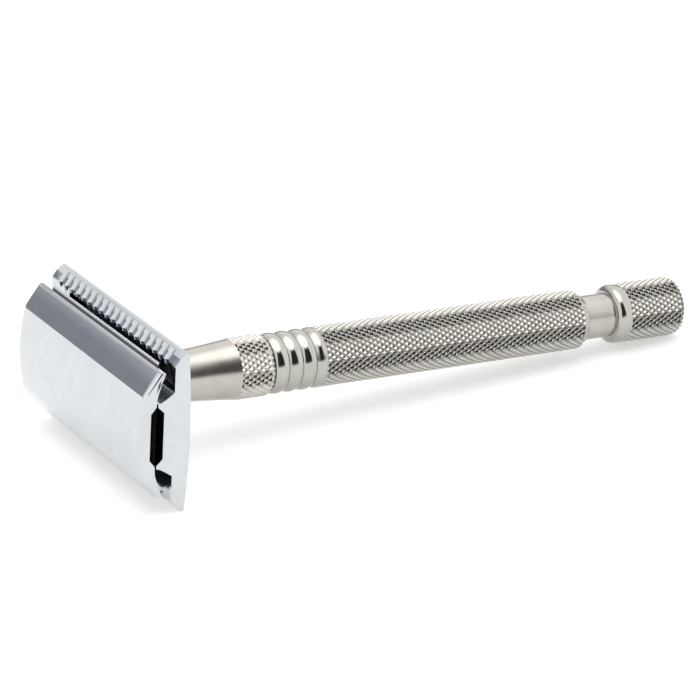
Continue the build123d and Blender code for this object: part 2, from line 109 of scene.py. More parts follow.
def spread(tree, value, low, high, from_low=0.3, from_high=0.7):
    """A value mapped onto a new range."""
    made = add(tree, "ShaderNodeMapRange")
    made.inputs["From Min"].default_value = from_low
    made.inputs["From Max"].default_value = from_high
    made.inputs["To Min"].default_value = low
    made.inputs["To Max"].default_value = high
    tree.links.new(value, made.inputs["Value"])
    return made.outputs["Result"]


def tint(tree, value, low, high):
    """A colour between two, by a value from 0 to 1."""
    made = add(tree, "ShaderNodeMix", data_type="RGBA")
    made.inputs["A"].default_value = (*low, 1)
    made.inputs["B"].default_value = (*high, 1)
    tree.links.new(value, made.inputs["Factor"])
    return made.outputs["Result"]


def bump(tree, height, depth):
    """A bump's normal, its depth in metres."""
    made = add(tree, "ShaderNodeBump")
    made.inputs["Strength"].default_value = 1.0
    made.inputs["Distance"].default_value = depth
    tree.links.new(height, made.inputs["Height"])
    return made.outputs["Normal"]


def metal(name, dark, light, rough, grain, depth):
    """A metal with cloudy colour and roughness and a fine surface grain.

    dark and light are its two colours and rough its roughness range. grain is how
    close the surface marks lie along the handle, along the head and across it, and
    depth is how deep they are, in metres.
    """
    material, tree, shader = new_material(name)
    at = razor_coordinates(tree)
    cloud = noise(tree, at, CLOUD_SCALE, 4.0)
    fine = noise(tree, stretched(tree, at, grain), 1.0, 5.0, 0.6)
    shader.inputs["Metallic"].default_value = 1.0
    tree.links.new(tint(tree, spread(tree, cloud, 0, 1), dark, light), shader.inputs["Base Color"])
    both = add(tree, "ShaderNodeMath", operation="ADD")
    tree.links.new(spread(tree, cloud, *rough), both.inputs[0])
    uneven = GRAIN_SHARE * rough[0]
    tree.links.new(spread(tree, fine, -uneven, uneven), both.inputs[1])
    tree.links.new(both.outputs[0], shader.inputs["Roughness"])
    tree.links.new(bump(tree, fine, depth), shader.inputs["Normal"])
    return material


chrome = metal(
    "chrome_plate", (0.54, 0.565, 0.58), (0.58, 0.605, 0.62),
    rough=(0.035, 0.06), grain=(9, 9, 9), depth=0.4e-6,
)
satin = metal(
    "satin_turned", (0.43, 0.41, 0.37), (0.48, 0.46, 0.415),
    rough=(0.20, 0.25), grain=(30, 1.2, 1.2), depth=2e-6,
)
knurled = metal(
    "knurled_steel", (0.46, 0.445, 0.41), (0.54, 0.525, 0.485),
    rough=(0.14, 0.22), grain=(8, 8, 8), depth=2e-6,
)
polished = metal(
    "polished_turned", (0.41, 0.40, 0.37), (0.45, 0.44, 0.41),
    rough=(0.08, 0.12), grain=(40, 1.5, 1.5), depth=0.6e-6,
)
# Ground blade steel. Further down, its flat and its ends get painted shade.
blade_steel = metal(
    "blade_ground_painted_shade", (0.84, 0.85, 0.87), (0.90, 0.91, 0.93),
    rough=(0.38, 0.46), grain=(2, 30, 2), depth=1e-6,
)
brass = metal(
    "turned_brass", (0.62, 0.44, 0.18), (0.72, 0.54, 0.24),
    rough=(0.18, 0.28), grain=(30, 1.2, 1.2), depth=2e-6,
)
spring = metal(
    "spring_temper", (0.36, 0.36, 0.38), (0.46, 0.46, 0.49),
    rough=(0.22, 0.32), grain=(9, 9, 9), depth=2e-6,
)


def plain_material(name, dark, light, rough, depth, scale):
    """A moulded, non-metal finish with a fine grain."""
    material, tree, shader = new_material(name)
    at = razor_coordinates(tree)
    fine = noise(tree, at, scale, 5.0, 0.6)
    tree.links.new(tint(tree, spread(tree, fine, 0, 1), dark, light), shader.inputs["Base Color"])
    tree.links.new(spread(tree, fine, *rough), shader.inputs["Roughness"])
    tree.links.new(bump(tree, fine, depth), shader.inputs["Normal"])
    return material


def paint_root_shade(material, root, tip, shade):
    """Darken a finish towards a radius, as painted shade in the valleys of a knurl."""
    tree = material.node_tree
    shader = tree.nodes["Principled BSDF"]
    axis_free = stretched(tree, razor_coordinates(tree), (0, 1, 1))
    length = add(tree, "ShaderNodeVectorMath", operation="LENGTH")
    tree.links.new(axis_free, length.inputs[0])
    rise = spread(tree, length.outputs["Value"], 0, 1, root, tip)
    made = add(tree, "ShaderNodeMix", data_type="RGBA")
    made.inputs["A"].default_value = (*shade, 1)
    tree.links.new(shader.inputs["Base Color"].links[0].from_socket, made.inputs["B"])
    tree.links.new(rise, made.inputs["Factor"])
    tree.links.new(made.outputs["Result"], shader.inputs["Base Color"])


nylon = plain_material(
    "natural_nylon", (0.70, 0.68, 0.60), (0.80, 0.78, 0.71),
    rough=(0.40, 0.55), depth=8e-6, scale=3,
)
rubber = plain_material(
    "seal_rubber", (0.018, 0.018, 0.02), (0.035, 0.035, 0.037),
    rough=(0.55, 0.75), depth=10e-6, scale=9,
)

# Painted shade: the knurl's colour darkens towards its roots, where shade falls in the valleys.
paint_root_shade(knurled, root=4.66, tip=4.84, shade=(0.16, 0.155, 0.145))


def within(tree, value, low, high, soft):
    """1 where a value lies between two limits and 0 outside them, with soft ends."""
    middle, half = (low + high) / 2, (high - low) / 2
    off = add(tree, "ShaderNodeMath", operation="SUBTRACT")
    tree.links.new(value, off.inputs[0])
    off.inputs[1].default_value = middle
    far = add(tree, "ShaderNodeMath", operation="ABSOLUTE")
    tree.links.new(off.outputs[0], far.inputs[0])
    return spread(tree, far.outputs[0], 1, 0, half - soft, half + soft)


def shaded(material, mask, shade):
    """Lay a colour over a finish's own where the mask is 1."""
    tree = material.node_tree
    shader = tree.nodes["Principled BSDF"]
    made = add(tree, "ShaderNodeMix", data_type="RGBA")
    tree.links.new(shader.inputs["Base Color"].links[0].from_socket, made.inputs["A"])
    made.inputs["B"].default_value = (*shade, 1)
    tree.links.new(mask, made.inputs["Factor"])
    tree.links.new(made.outputs["Result"], shader.inputs["Base Color"])


def razor_parts(material):
    """A finish's tree and its razor coordinates, y and z without their sign."""
    tree = material.node_tree
    parts = add(tree, "ShaderNodeSeparateXYZ")
    tree.links.new(razor_coordinates(tree), parts.inputs[0])
    sizes = []
    for socket in (parts.outputs[1], parts.outputs[2]):
        made = add(tree, "ShaderNodeMath", operation="ABSOLUTE")
        tree.links.new(socket, made.inputs[0])
        sizes.append(made.outputs[0])
    return tree, parts.outputs[0], *sizes


BLADE_HONED = 10.42           # where the honed edge starts, from the middle
BLADE_END = 21.35             # where the blade's end starts, along the head
BLADE_FLAT_SHADE = (0.21, 0.215, 0.23)
BLADE_END_SHADE = (0.01, 0.01, 0.011)
CHANNEL_DEPTH = -1.93         # the lather channel is deeper than this
CHANNEL_INNER = 6.9
CHANNEL_OUTER = 10.98
CHANNEL_SHADE = (0.055, 0.065, 0.10)
PLATE_END = 21.9              # inside the head's end faces
BEYOND = 30                   # past the razor on every side

# These colours stand in for the shade inside the closed head. A real blade is
# bright steel all over, and a real channel is the same chrome as the plate, so
# both look too dark when the head is open.
blade_tree, _, blade_y, blade_z = razor_parts(blade_steel)
shaded(blade_steel, within(blade_tree, blade_z, -1, BLADE_HONED, 0.03), BLADE_FLAT_SHADE)
shaded(blade_steel, within(blade_tree, blade_y, BLADE_END, BEYOND, 0.05), BLADE_END_SHADE)

# A copy of the chrome plate with painted shade in the lather channels.
plate_chrome = chrome.copy()
plate_chrome.name = "chrome_plate_painted_channel_shade"
plate_tree, plate_x, plate_y, plate_z = razor_parts(plate_chrome)
deep = within(plate_tree, plate_x, CHANNEL_DEPTH, 0.2, 0.06)
for limits in ((plate_y, -1, PLATE_END), (plate_z, CHANNEL_INNER, CHANNEL_OUTER)):
    both = add(plate_tree, "ShaderNodeMath", operation="MULTIPLY")
    plate_tree.links.new(deep, both.inputs[0])
    plate_tree.links.new(within(plate_tree, *limits, 0.03), both.inputs[1])
    deep = both.outputs[0]
shaded(plate_chrome, deep, CHANNEL_SHADE)

# -------------------------------------------------------------- mesh helpers


def place(name, shape, body, slot, material, *stands_for):
    """Put a bmesh drawn in razor coordinates into the scene as a finished piece."""
    mesh = bpy.data.meshes.new(name)
    shape.transform(to_world)
    shape.to_mesh(mesh)
    shape.free()
    mesh.materials.append(material)
    return settle(name, mesh, body, slot, *stands_for)


def settle(name, mesh, body, slot, *stands_for, smooth=35):
    """Shade a mesh, tie it to its body and hide the nodes it stands for."""
    mesh.shade_smooth()
    mesh.set_sharp_from_angle(angle=radians(smooth))
    piece = bpy.data.objects.new(name, mesh)
    bpy.context.scene.collection.objects.link(piece)
    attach(piece, body)
    if stands_for:
        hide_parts(*stands_for)
    return piece


def rounded(outline):
    """An outline with round corners, from (x, radius, corner radius) points."""
    steps = 5
    out = []
    count = len(outline)
    for i, (x, r, corner) in enumerate(outline):
        here = Vector((x, r))
        if corner == 0:
            out.append(here)
            continue
        back = Vector(outline[i - 1][:2]) - here
        on = Vector(outline[(i + 1) % count][:2]) - here
        half = back.angle(on) / 2
        reach = corner / abs(sin(half) / cos(half))
        centre = here + (back.normalized() + on.normalized()).normalized() * corner / sin(half)
        first = here + back.normalized() * reach - centre
        last = here + on.normalized() * reach - centre
        for k in range(steps + 1):
            share = k / steps
            way = first.normalized().slerp(last.normalized(), share)
            out.append(centre + way * corner)
    return out


def spun(outline, segments=144):
    """A closed solid of revolution from its closed (x, radius) outline."""
    shape = bmesh.new()
    rings = []
    for x, r in outline:
        if r < 1e-6:
            rings.append([shape.verts.new((x, 0, 0))])
            continue
        turn = [2 * pi * k / segments for k in range(segments)]
        rings.append([shape.verts.new((x, r * cos(a), r * sin(a))) for a in turn])
    for i, ring in enumerate(rings):
        following = rings[(i + 1) % len(rings)]
        if len(ring) == 1 and len(following) == 1:
            continue
        for k in range(segments):
            n = (k + 1) % segments
            if len(ring) == 1:
                corners = (ring[0], following[k], following[n])
            elif len(following) == 1:
                corners = (ring[k], following[0], ring[n])
            else:
                corners = (ring[k], following[k], following[n], ring[n])
            shape.faces.new(corners)
    bmesh.ops.recalc_face_normals(shape, faces=shape.faces)
    return shape


def arc(centre, radius, start, end, steps):
    """Points on an arc of an outline, from one angle to another in degrees."""
    turn = [radians(start + (end - start) * k / steps) for k in range(steps + 1)]
    return [(centre[0] + radius * cos(a), centre[1] + radius * sin(a)) for a in turn]


# ------------------------------------------------------- geometry node trees
NO_BEND = 1000.0              # a bend start that lies past every piece
STEPS_PER_TURN = 8.0          # of the thread, along the stud


def new_tree(name, inputs):
    """An empty geometry tree with an output and named inputs: (name, type, value)."""
    tree = bpy.data.node_groups.new(name, "GeometryNodeTree")
    tree.interface.new_socket("Geometry", in_out="OUTPUT", socket_type="NodeSocketGeometry")
    for label, kind, value in inputs:
        made = tree.interface.new_socket(label, in_out="INPUT", socket_type=kind)
        if value is not None:
            made.default_value = value
    return tree, add(tree, "NodeGroupInput"), add(tree, "NodeGroupOutput")


def calc(tree, operation, *values):
    """A math node on values, sockets or plain numbers."""
    made = add(tree, "ShaderNodeMath", operation=operation)
    for socket, value in zip(made.inputs, values):
        if isinstance(value, (int, float)):
            socket.default_value = value
        else:
            tree.links.new(value, socket)
    return made.outputs[0]


def grown(name, tree, settings):
    """The plain mesh that a tree makes with these inputs."""
    carrier = bpy.data.objects.new(name, bpy.data.meshes.new(name + "_seed"))
    bpy.context.scene.collection.objects.link(carrier)
    modifier = carrier.modifiers.new(name, "NODES")
    modifier.node_group = tree
    named = {i.name: i.identifier for i in tree.interface.items_tree if i.in_out == "INPUT"}
    for label, value in settings.items():
        modifier[named[label]] = value
    bpy.context.view_layer.update()
    graph = bpy.context.evaluated_depsgraph_get()
    mesh = bpy.data.meshes.new_from_object(carrier.evaluated_get(graph), depsgraph=graph)
    carrier.modifiers.clear()
    seed = carrier.data
    bpy.data.objects.remove(carrier)
    bpy.data.meshes.remove(seed)
    return mesh


def along_profile(tree, position, group, bend):
    """Wrap flat points round the handle: x along, y round, z out from the root.

    Past the bend start, x follows the rounded end of the piece instead.
    """
    parts = add(tree, "ShaderNodeSeparateXYZ")
    tree.links.new(position, parts.inputs[0])
    x, y, z = parts.outputs
    radius = group.outputs["Root Radius"]
    angle = calc(tree, "DIVIDE", y, radius)
    bend_start, bend_radius = bend
    past = calc(tree, "MAXIMUM", calc(tree, "SUBTRACT", x, bend_start), 0.0)
    turn = calc(tree, "DIVIDE", past, bend_radius)
    reach = calc(tree, "ADD", bend_radius, z)
    before = calc(tree, "MINIMUM", x, bend_start)
    new_x = calc(tree, "ADD", before, calc(tree, "MULTIPLY", reach, calc(tree, "SINE", turn)))
    centre = calc(tree, "SUBTRACT", radius, bend_radius)
    out = calc(tree, "ADD", centre, calc(tree, "MULTIPLY", reach, calc(tree, "COSINE", turn)))
    joined = add(tree, "ShaderNodeCombineXYZ")
    tree.links.new(new_x, joined.inputs[0])
    tree.links.new(calc(tree, "MULTIPLY", out, calc(tree, "COSINE", angle)), joined.inputs[1])
    tree.links.new(calc(tree, "MULTIPLY", out, calc(tree, "SINE", angle)), joined.inputs[2])
    return joined.outputs[0]


def to_place(tree, geometry, group):
    """Turn a shape in razor coordinates into the frame and give it its finish."""
    moved = add(tree, "GeometryNodeTransform")
    tree.links.new(geometry, moved.inputs["Geometry"])
    moved.inputs["Translation"].default_value = razor_origin
    moved.inputs["Rotation"].default_value = (0, tilt, 0)
    moved.inputs["Scale"].default_value = (MM, MM, MM)
    painted = add(tree, "GeometryNodeSetMaterial")
    tree.links.new(moved.outputs[0], painted.inputs["Geometry"])
    tree.links.new(group.outputs["Finish"], painted.inputs["Material"])
    return painted.outputs[0]


def make_knurl_tree():
    """Rows of small diamonds wrapped round the handle."""
    tree, group, out = new_tree("diamond_knurl", [
        ("Root Radius", "NodeSocketFloat", 4.7),
        ("Depth", "NodeSocketFloat", 0.25),
        ("Starts", "NodeSocketInt", 33),
        ("Rows", "NodeSocketInt", 40),
        ("Row Pitch", "NodeSocketFloat", 0.7),
        ("First Row", "NodeSocketFloat", 0.0),
        ("Tip Size", "NodeSocketFloat", 0.2),
        ("Bend Start", "NodeSocketFloat", NO_BEND),
        ("Bend Radius", "NodeSocketFloat", 1.0),
        ("Finish", "NodeSocketMaterial", None),
    ])
    value = group.outputs
    round_way = calc(tree, "MULTIPLY", value["Root Radius"], 2 * pi)
    spacing = calc(tree, "DIVIDE", round_way, value["Starts"])

    diamond = add(tree, "GeometryNodeMeshCircle", fill_type="NGON")
    diamond.inputs["Vertices"].default_value = 4
    diamond.inputs["Radius"].default_value = 1.0
    size = add(tree, "ShaderNodeCombineXYZ")
    tree.links.new(value["Row Pitch"], size.inputs[0])
    tree.links.new(calc(tree, "MULTIPLY", spacing, 0.5), size.inputs[1])
    size.inputs[2].default_value = 1.0
    sized = add(tree, "GeometryNodeTransform")
    tree.links.new(diamond.outputs["Mesh"], sized.inputs["Geometry"])
    tree.links.new(size.outputs[0], sized.inputs["Scale"])
    geometry = sized.outputs[0]
    # A flank rises to the blunt tip, and a low cap tops it.
    for rise, shrink in ((0.86, value["Tip Size"]), (0.14, 0.45)):
        lift = add(tree, "ShaderNodeCombineXYZ")
        tree.links.new(calc(tree, "MULTIPLY", value["Depth"], rise), lift.inputs[2])
        raised = add(tree, "GeometryNodeExtrudeMesh", mode="FACES")
        if rise < 0.5:
            tree.links.new(top, raised.inputs["Selection"])
        tree.links.new(geometry, raised.inputs["Mesh"])
        tree.links.new(lift.outputs[0], raised.inputs["Offset"])
        raised.inputs["Offset Scale"].default_value = 1.0
        drawn_in = add(tree, "GeometryNodeScaleElements", domain="FACE")
        tree.links.new(raised.outputs["Mesh"], drawn_in.inputs["Geometry"])
        tree.links.new(raised.outputs["Top"], drawn_in.inputs["Selection"])
        if isinstance(shrink, float):
            drawn_in.inputs["Scale"].default_value = shrink
        else:
            tree.links.new(shrink, drawn_in.inputs["Scale"])
        geometry, top = drawn_in.outputs[0], raised.outputs["Top"]

    grid = add(tree, "GeometryNodeMeshGrid")
    rows_less = calc(tree, "SUBTRACT", value["Rows"], 1.0)
    starts_less = calc(tree, "SUBTRACT", value["Starts"], 1.0)
    tree.links.new(calc(tree, "MULTIPLY", rows_less, value["Row Pitch"]), grid.inputs["Size X"])
    tree.links.new(calc(tree, "MULTIPLY", starts_less, spacing), grid.inputs["Size Y"])
    tree.links.new(value["Rows"], grid.inputs["Vertices X"])
    tree.links.new(value["Starts"], grid.inputs["Vertices Y"])
    where = add(tree, "GeometryNodeInputPosition")
    parts = add(tree, "ShaderNodeSeparateXYZ")
    tree.links.new(where.outputs[0], parts.inputs[0])
    full_length = calc(tree, "MULTIPLY", rows_less, value["Row Pitch"])
    half_length = calc(tree, "MULTIPLY", full_length, 0.5)
    from_start = calc(tree, "ADD", parts.outputs[0], half_length)
    row = calc(tree, "ROUND", calc(tree, "DIVIDE", from_start, value["Row Pitch"]))
    odd = calc(tree, "MULTIPLY", calc(tree, "MODULO", row, 2.0), 0.5)
    shift = add(tree, "ShaderNodeCombineXYZ")
    tree.links.new(calc(tree, "ADD", half_length, value["First Row"]), shift.inputs[0])
    tree.links.new(calc(tree, "MULTIPLY", odd, spacing), shift.inputs[1])
    staggered = add(tree, "GeometryNodeSetPosition")
    tree.links.new(grid.outputs["Mesh"], staggered.inputs["Geometry"])
    tree.links.new(shift.outputs[0], staggered.inputs["Offset"])

    spread_out = add(tree, "GeometryNodeInstanceOnPoints")
    tree.links.new(staggered.outputs[0], spread_out.inputs["Points"])
    tree.links.new(geometry, spread_out.inputs["Instance"])
    real = add(tree, "GeometryNodeRealizeInstances")
    tree.links.new(spread_out.outputs[0], real.inputs[0])
    wrapped = add(tree, "GeometryNodeSetPosition")
    tree.links.new(real.outputs[0], wrapped.inputs["Geometry"])
    bend = (value["Bend Start"], value["Bend Radius"])
    tree.links.new(along_profile(tree, where.outputs[0], group, bend), wrapped.inputs["Position"])
    welded = add(tree, "GeometryNodeMergeByDistance")
    welded.inputs["Distance"].default_value = 0.02
    tree.links.new(wrapped.outputs[0], welded.inputs["Geometry"])
    tree.links.new(to_place(tree, welded.outputs[0], group), out.inputs["Geometry"])
    return tree


def make_thread_tree():
    """A screw thread: a flat sheet wrapped round the axis, its height a helix of ridges."""
    tree, group, out = new_tree("screw_thread", [
        ("Root Radius", "NodeSocketFloat", 1.6),
        ("Depth", "NodeSocketFloat", 0.38),
        ("Pitch", "NodeSocketFloat", 0.7),
        ("Start", "NodeSocketFloat", 0.0),
        ("Length", "NodeSocketFloat", 10.0),
        ("Finish", "NodeSocketMaterial", None),
    ])
    value = group.outputs
    grid = add(tree, "GeometryNodeMeshGrid")
    round_way = calc(tree, "MULTIPLY", value["Root Radius"], 2 * pi)
    tree.links.new(value["Length"], grid.inputs["Size X"])
    tree.links.new(round_way, grid.inputs["Size Y"])
    turns = calc(tree, "DIVIDE", value["Length"], value["Pitch"])
    whole = calc(tree, "ROUND", calc(tree, "MULTIPLY", turns, STEPS_PER_TURN))
    steps = calc(tree, "ADD", whole, 1.0)
    tree.links.new(steps, grid.inputs["Vertices X"])
    grid.inputs["Vertices Y"].default_value = 65
    where = add(tree, "GeometryNodeInputPosition")
    parts = add(tree, "ShaderNodeSeparateXYZ")
    tree.links.new(where.outputs[0], parts.inputs[0])
    x = calc(tree, "ADD", parts.outputs[0], calc(tree, "MULTIPLY", value["Length"], 0.5))
    turn = calc(tree, "DIVIDE", parts.outputs[1], round_way)
    phase = calc(tree, "SUBTRACT", calc(tree, "DIVIDE", x, value["Pitch"]), turn)
    ridge = calc(tree, "PINGPONG", phase, 0.5)
    flat_ridge = calc(tree, "MINIMUM", calc(tree, "MULTIPLY", ridge, 2.4), 1.0)
    shaped = add(tree, "ShaderNodeCombineXYZ")
    tree.links.new(calc(tree, "ADD", x, value["Start"]), shaped.inputs[0])
    tree.links.new(parts.outputs[1], shaped.inputs[1])
    tree.links.new(calc(tree, "MULTIPLY", flat_ridge, value["Depth"]), shaped.inputs[2])
    wrapped = add(tree, "GeometryNodeSetPosition")
    tree.links.new(grid.outputs["Mesh"], wrapped.inputs["Geometry"])
    straight = along_profile(tree, shaped.outputs[0], group, (NO_BEND, 1.0))
    tree.links.new(straight, wrapped.inputs["Position"])
    welded = add(tree, "GeometryNodeMergeByDistance")
    welded.inputs["Distance"].default_value = 0.001
    tree.links.new(wrapped.outputs[0], welded.inputs["Geometry"])
    real = add(tree, "GeometryNodeRealizeInstances")
    tree.links.new(welded.outputs[0], real.inputs[0])
    tree.links.new(to_place(tree, real.outputs[0], group), out.inputs["Geometry"])
    return tree


knurl_tree = make_knurl_tree()
thread_tree = make_thread_tree()


def knurl(name, body, tip_radius, start, end, bend_start=NO_BEND, bend_radius=1.0):
    """A band of diamond knurl between two places on the handle."""
    rows = int(round((end - start) / KNURL_ROW_PITCH)) + 1
    mesh = grown(name, knurl_tree, {
        "Root Radius": tip_radius - KNURL_DEPTH,
        "Depth": KNURL_DEPTH,
        "Starts": KNURL_STARTS,
        "Rows": rows,
        "Row Pitch": KNURL_ROW_PITCH,
        "First Row": start,
        "Tip Size": KNURL_TIP_SIZE,
        "Bend Start": bend_start,
        "Bend Radius": bend_radius,
        "Finish": knurled,
    })
    return settle(name, mesh, body, "satin_steel", smooth=12)


# ------------------------------------------------------------------ the sizes
# Places along the handle and radii, in millimetres.
NECK_START = 0.9
NECK_END = 18.9
NECK_FRONT = 3.9
NECK_FLARE_RADIUS = 155.0
NECK_STEPS = 24
NECK_BORE = 2.99
NECK_BORE_END = 8.0
SPIGOT_START = -1.1
SPIGOT_RADIUS = 3.5
CORE_RADIUS = 3.6
COLLAR_END = 25.15
COLLAR_RADIUS = 5.05
COLLAR_CHAMFER = 0.55
COLLAR_CHAMFER_RISE = 0.42
COLLAR_KNURL_START = NECK_END + 0.35
COLLAR_KNURL_END = COLLAR_END - 1.1
RING_COUNT = 3
RING_PITCH = 2.47
RING_CREST = 4.975
RING_ROOT = 4.555
RING_STEPS = 16
GRIP_RADIUS = 4.95
GRIP_NOSE_RADIUS = 4.818
GRIP_KNURL_START = 34.1
GRIP_END = 84.2
GRIP_CHAMFER = 1.3
GRIP_CHAMFER_RISE = 0.78
GRIP_BORE_STEP = 80.6
STEM_RADIUS = 3.7
STEM_BORE = 3.8
ROD_RADIUS = 1.8
JOURNAL_START = 76.8
JOURNAL_END = 81.2
JOURNAL_RADIUS = 2.5
SEAL_START = 82.1
SEAL_END = 83.1
SEAL_GROOVE_RADIUS = 2.9
TAIL_RADIUS = 3.0             # of the stem, inside the knob
TAIL_END = 96.4
KNOB_START = 89.5
KNOB_RADIUS = 4.95
KNOB_KNURL_START = 91.8
KNOB_SHOULDER = 1.25
KNOB_END_ROUND = 1.9
KNOB_BORE_END = 97.6
KNURL_STARTS = 33
KNURL_ROW_PITCH = 0.705
KNURL_DEPTH = 0.26
KNURL_TIP_SIZE = 0.22
KNURL_LAP = 0.1               # from where a smooth land ends to the first or last row
LAND_SLOPE = 0.5              # the length in which a land drops to the knurl's roots
UNDERCUT = 0.02               # how far a core stays below the knurl over it
STUD_START = -6.9
STUD_POINT_START = 7.0
STUD_END = 7.2
STUD_CORE_RADIUS = 1.62
STUD_POINT_RADIUS = 1.3
STUD_SEGMENTS = 64
STRIP_COUNT = 17
STRIP_WIDTH = 0.75            # of the strips that the plate's back is shaded in

# ------------------------------------------------------------------- the head


def softened(name, source, edge, body, slot, material):
    """A merged copy of a CAD node, to stand for it.

    The rounding of its edges comes out far smaller than the width asked for.
    Faces that look along the handle are cut into narrow strips, so that a gentle
    curve across the head is shaded evenly round its holes.
    """
    shape = bmesh.new()
    shape.from_mesh(node[source].data)
    bmesh.ops.remove_doubles(shape, verts=shape.verts, dist=2e-6)
    bmesh.ops.dissolve_limit(
        shape, angle_limit=radians(0.3), verts=shape.verts, edges=shape.edges, delimit=set()
    )
    across = handle_way.cross(Vector((0, 1, 0)))
    for step in range(-STRIP_COUNT, STRIP_COUNT + 1):
        faces = [f for f in shape.faces if f.normal.dot(handle_way) > 0.97]
        edges = {e for f in faces for e in f.edges}
        corners = {v for f in faces for v in f.verts}
        bmesh.ops.bisect_plane(
            shape, geom=[*faces, *edges, *corners], dist=1e-7,
            plane_co=razor_origin + across * step * STRIP_WIDTH * MM, plane_no=across,
        )
    mesh = bpy.data.meshes.new(name)
    shape.to_mesh(mesh)
    shape.free()
    mesh.materials.clear()
    mesh.materials.append(material)
    angle = 24
    piece = settle(name, mesh, body, slot, source, smooth=angle)
    soft = piece.modifiers.new("round_edges", "BEVEL")
    soft.width = edge * MM
    soft.segments = 2
    soft.limit_method = "ANGLE"
    soft.angle_limit = radians(angle)
    soft.harden_normals = True
    soft.use_clamp_overlap = True
    return piece


softened("chrome_plate_base", "base_plate", 0.05, "handle", "chrome_head", plate_chrome)
softened("chrome_cap", "top_cap", 0.035, "cap", "chrome_head", chrome)
node["razor_blade"].data.materials.clear()
node["razor_blade"].data.materials.append(blade_steel)

# ----------------------------------------------------------------- the handle
neck_flare = (NECK_END - NECK_START) ** 2 / (2 * NECK_FLARE_RADIUS)
neck_line = []
for step in range(NECK_STEPS + 1):
    way = step / NECK_STEPS
    along = NECK_START + way * (NECK_END - NECK_START)
    neck_line.append((along, NECK_FRONT + neck_flare * way**2))
neck_outline = neck_line + [
    (NECK_END, CORE_RADIUS), (NECK_BORE_END, CORE_RADIUS), (NECK_BORE_END, NECK_BORE),
    (SPIGOT_START, NECK_BORE), (SPIGOT_START, SPIGOT_RADIUS), (NECK_START, SPIGOT_RADIUS),
]
place("smooth_neck", spun(neck_outline), "handle", "satin_steel", satin, "neck_cone")

root = COLLAR_RADIUS - KNURL_DEPTH
collar_outline = rounded([
    (NECK_END, CORE_RADIUS, 0),
    (NECK_END, root, 0.08),
    (COLLAR_END - COLLAR_CHAMFER, root, 0),
    (COLLAR_END, root - COLLAR_CHAMFER_RISE, 0.08),
    (COLLAR_END, CORE_RADIUS, 0),
])
place("collar_core", spun(collar_outline), "handle", "satin_steel", satin, "knurled_collar")
knurl("collar_knurl", "handle", COLLAR_RADIUS, COLLAR_KNURL_START, COLLAR_KNURL_END)

rings_end = COLLAR_END + RING_COUNT * RING_PITCH
bulge = RING_CREST - RING_ROOT
ring_arc = (RING_PITCH**2 / 4 + bulge**2) / (2 * bulge)
ring_line = []
for ring in range(RING_COUNT):
    middle = COLLAR_END + (ring + 0.5) * RING_PITCH
    for step in range(RING_STEPS + 1):
        offset = (step / RING_STEPS - 0.5) * RING_PITCH
        height = (ring_arc**2 - offset**2) ** 0.5 - ring_arc
        if step or not ring:
            ring_line.append((middle + offset, RING_CREST + height))
ring_outline = ring_line + [(rings_end, CORE_RADIUS), (COLLAR_END, CORE_RADIUS)]
place("polished_rings", spun(ring_outline), "handle", "polished_steel", polished, "ring_sleeve")

grip_root = GRIP_RADIUS - KNURL_DEPTH
land_outline = rounded([
    (rings_end, CORE_RADIUS, 0),
    (rings_end, RING_ROOT, 0),
    (rings_end + 0.45, GRIP_NOSE_RADIUS, 0.6),
    (rings_end + 0.95, GRIP_RADIUS - 0.01, 0.6),
    (GRIP_KNURL_START, GRIP_RADIUS - UNDERCUT, 0.1),
    (GRIP_KNURL_START + LAND_SLOPE, grip_root - UNDERCUT, 0.1),
    (GRIP_END - GRIP_CHAMFER, grip_root - UNDERCUT, 0),
    (GRIP_END - GRIP_CHAMFER + 0.1, GRIP_RADIUS - 0.25, 0.05),
    (GRIP_END, GRIP_RADIUS - GRIP_CHAMFER_RISE, 0.08),
    (GRIP_END, STEM_BORE, 0.06),
    (GRIP_BORE_STEP, STEM_BORE, 0),
    (GRIP_BORE_STEP, CORE_RADIUS, 0),
])
place("grip_core", spun(land_outline), "handle", "satin_steel", polished, "grip_tube")
knurl(
    "grip_knurl", "handle", GRIP_RADIUS,
    GRIP_KNURL_START + KNURL_LAP, GRIP_END - GRIP_CHAMFER - KNURL_LAP,
)

# ------------------------------------------------------------------- the knob
stem_outline = rounded([
    (JOURNAL_START, ROD_RADIUS, 0),
    (JOURNAL_START, JOURNAL_RADIUS, 0.1),
    (JOURNAL_END, JOURNAL_RADIUS, 0),
    (JOURNAL_END, STEM_RADIUS, 0.1),
    (SEAL_START, STEM_RADIUS, 0),
    (SEAL_START, SEAL_GROOVE_RADIUS, 0),
    (SEAL_END, SEAL_GROOVE_RADIUS, 0),
    (SEAL_END, STEM_RADIUS, 0),
    (KNOB_START, STEM_RADIUS, 0),
    (KNOB_START, TAIL_RADIUS, 0),
    (TAIL_END, TAIL_RADIUS, 0.1),
    (TAIL_END, ROD_RADIUS, 0),
])
place("knob_neck", spun(stem_outline), "knob_drive", "satin_steel", satin, "knob_stem")

knob_root = KNOB_RADIUS - KNURL_DEPTH
knob_crest = KNOB_RADIUS - UNDERCUT
end_round = KNOB_END_ROUND - KNURL_DEPTH
knob_outline = [
    (KNOB_START, TAIL_RADIUS),
    *arc(
        (KNOB_START + KNOB_SHOULDER, knob_crest - KNOB_SHOULDER),
        KNOB_SHOULDER, 180, 90, 12,
    ),
    (KNOB_KNURL_START, knob_crest),
    (KNOB_KNURL_START + LAND_SLOPE, knob_root - UNDERCUT),
    *arc(
        (KNOB_END - KNOB_END_ROUND, knob_root - UNDERCUT - KNOB_END_ROUND + KNURL_DEPTH),
        end_round, 90, 30, 10,
    ),
    (KNOB_END - 0.12, 3.6),
    (KNOB_END, 3.0),
    (KNOB_END, 0),
    (KNOB_BORE_END, 0),
    (KNOB_BORE_END, TAIL_RADIUS),
]
place("knob_core", spun(knob_outline), "knob_drive", "satin_steel", polished, "knob")
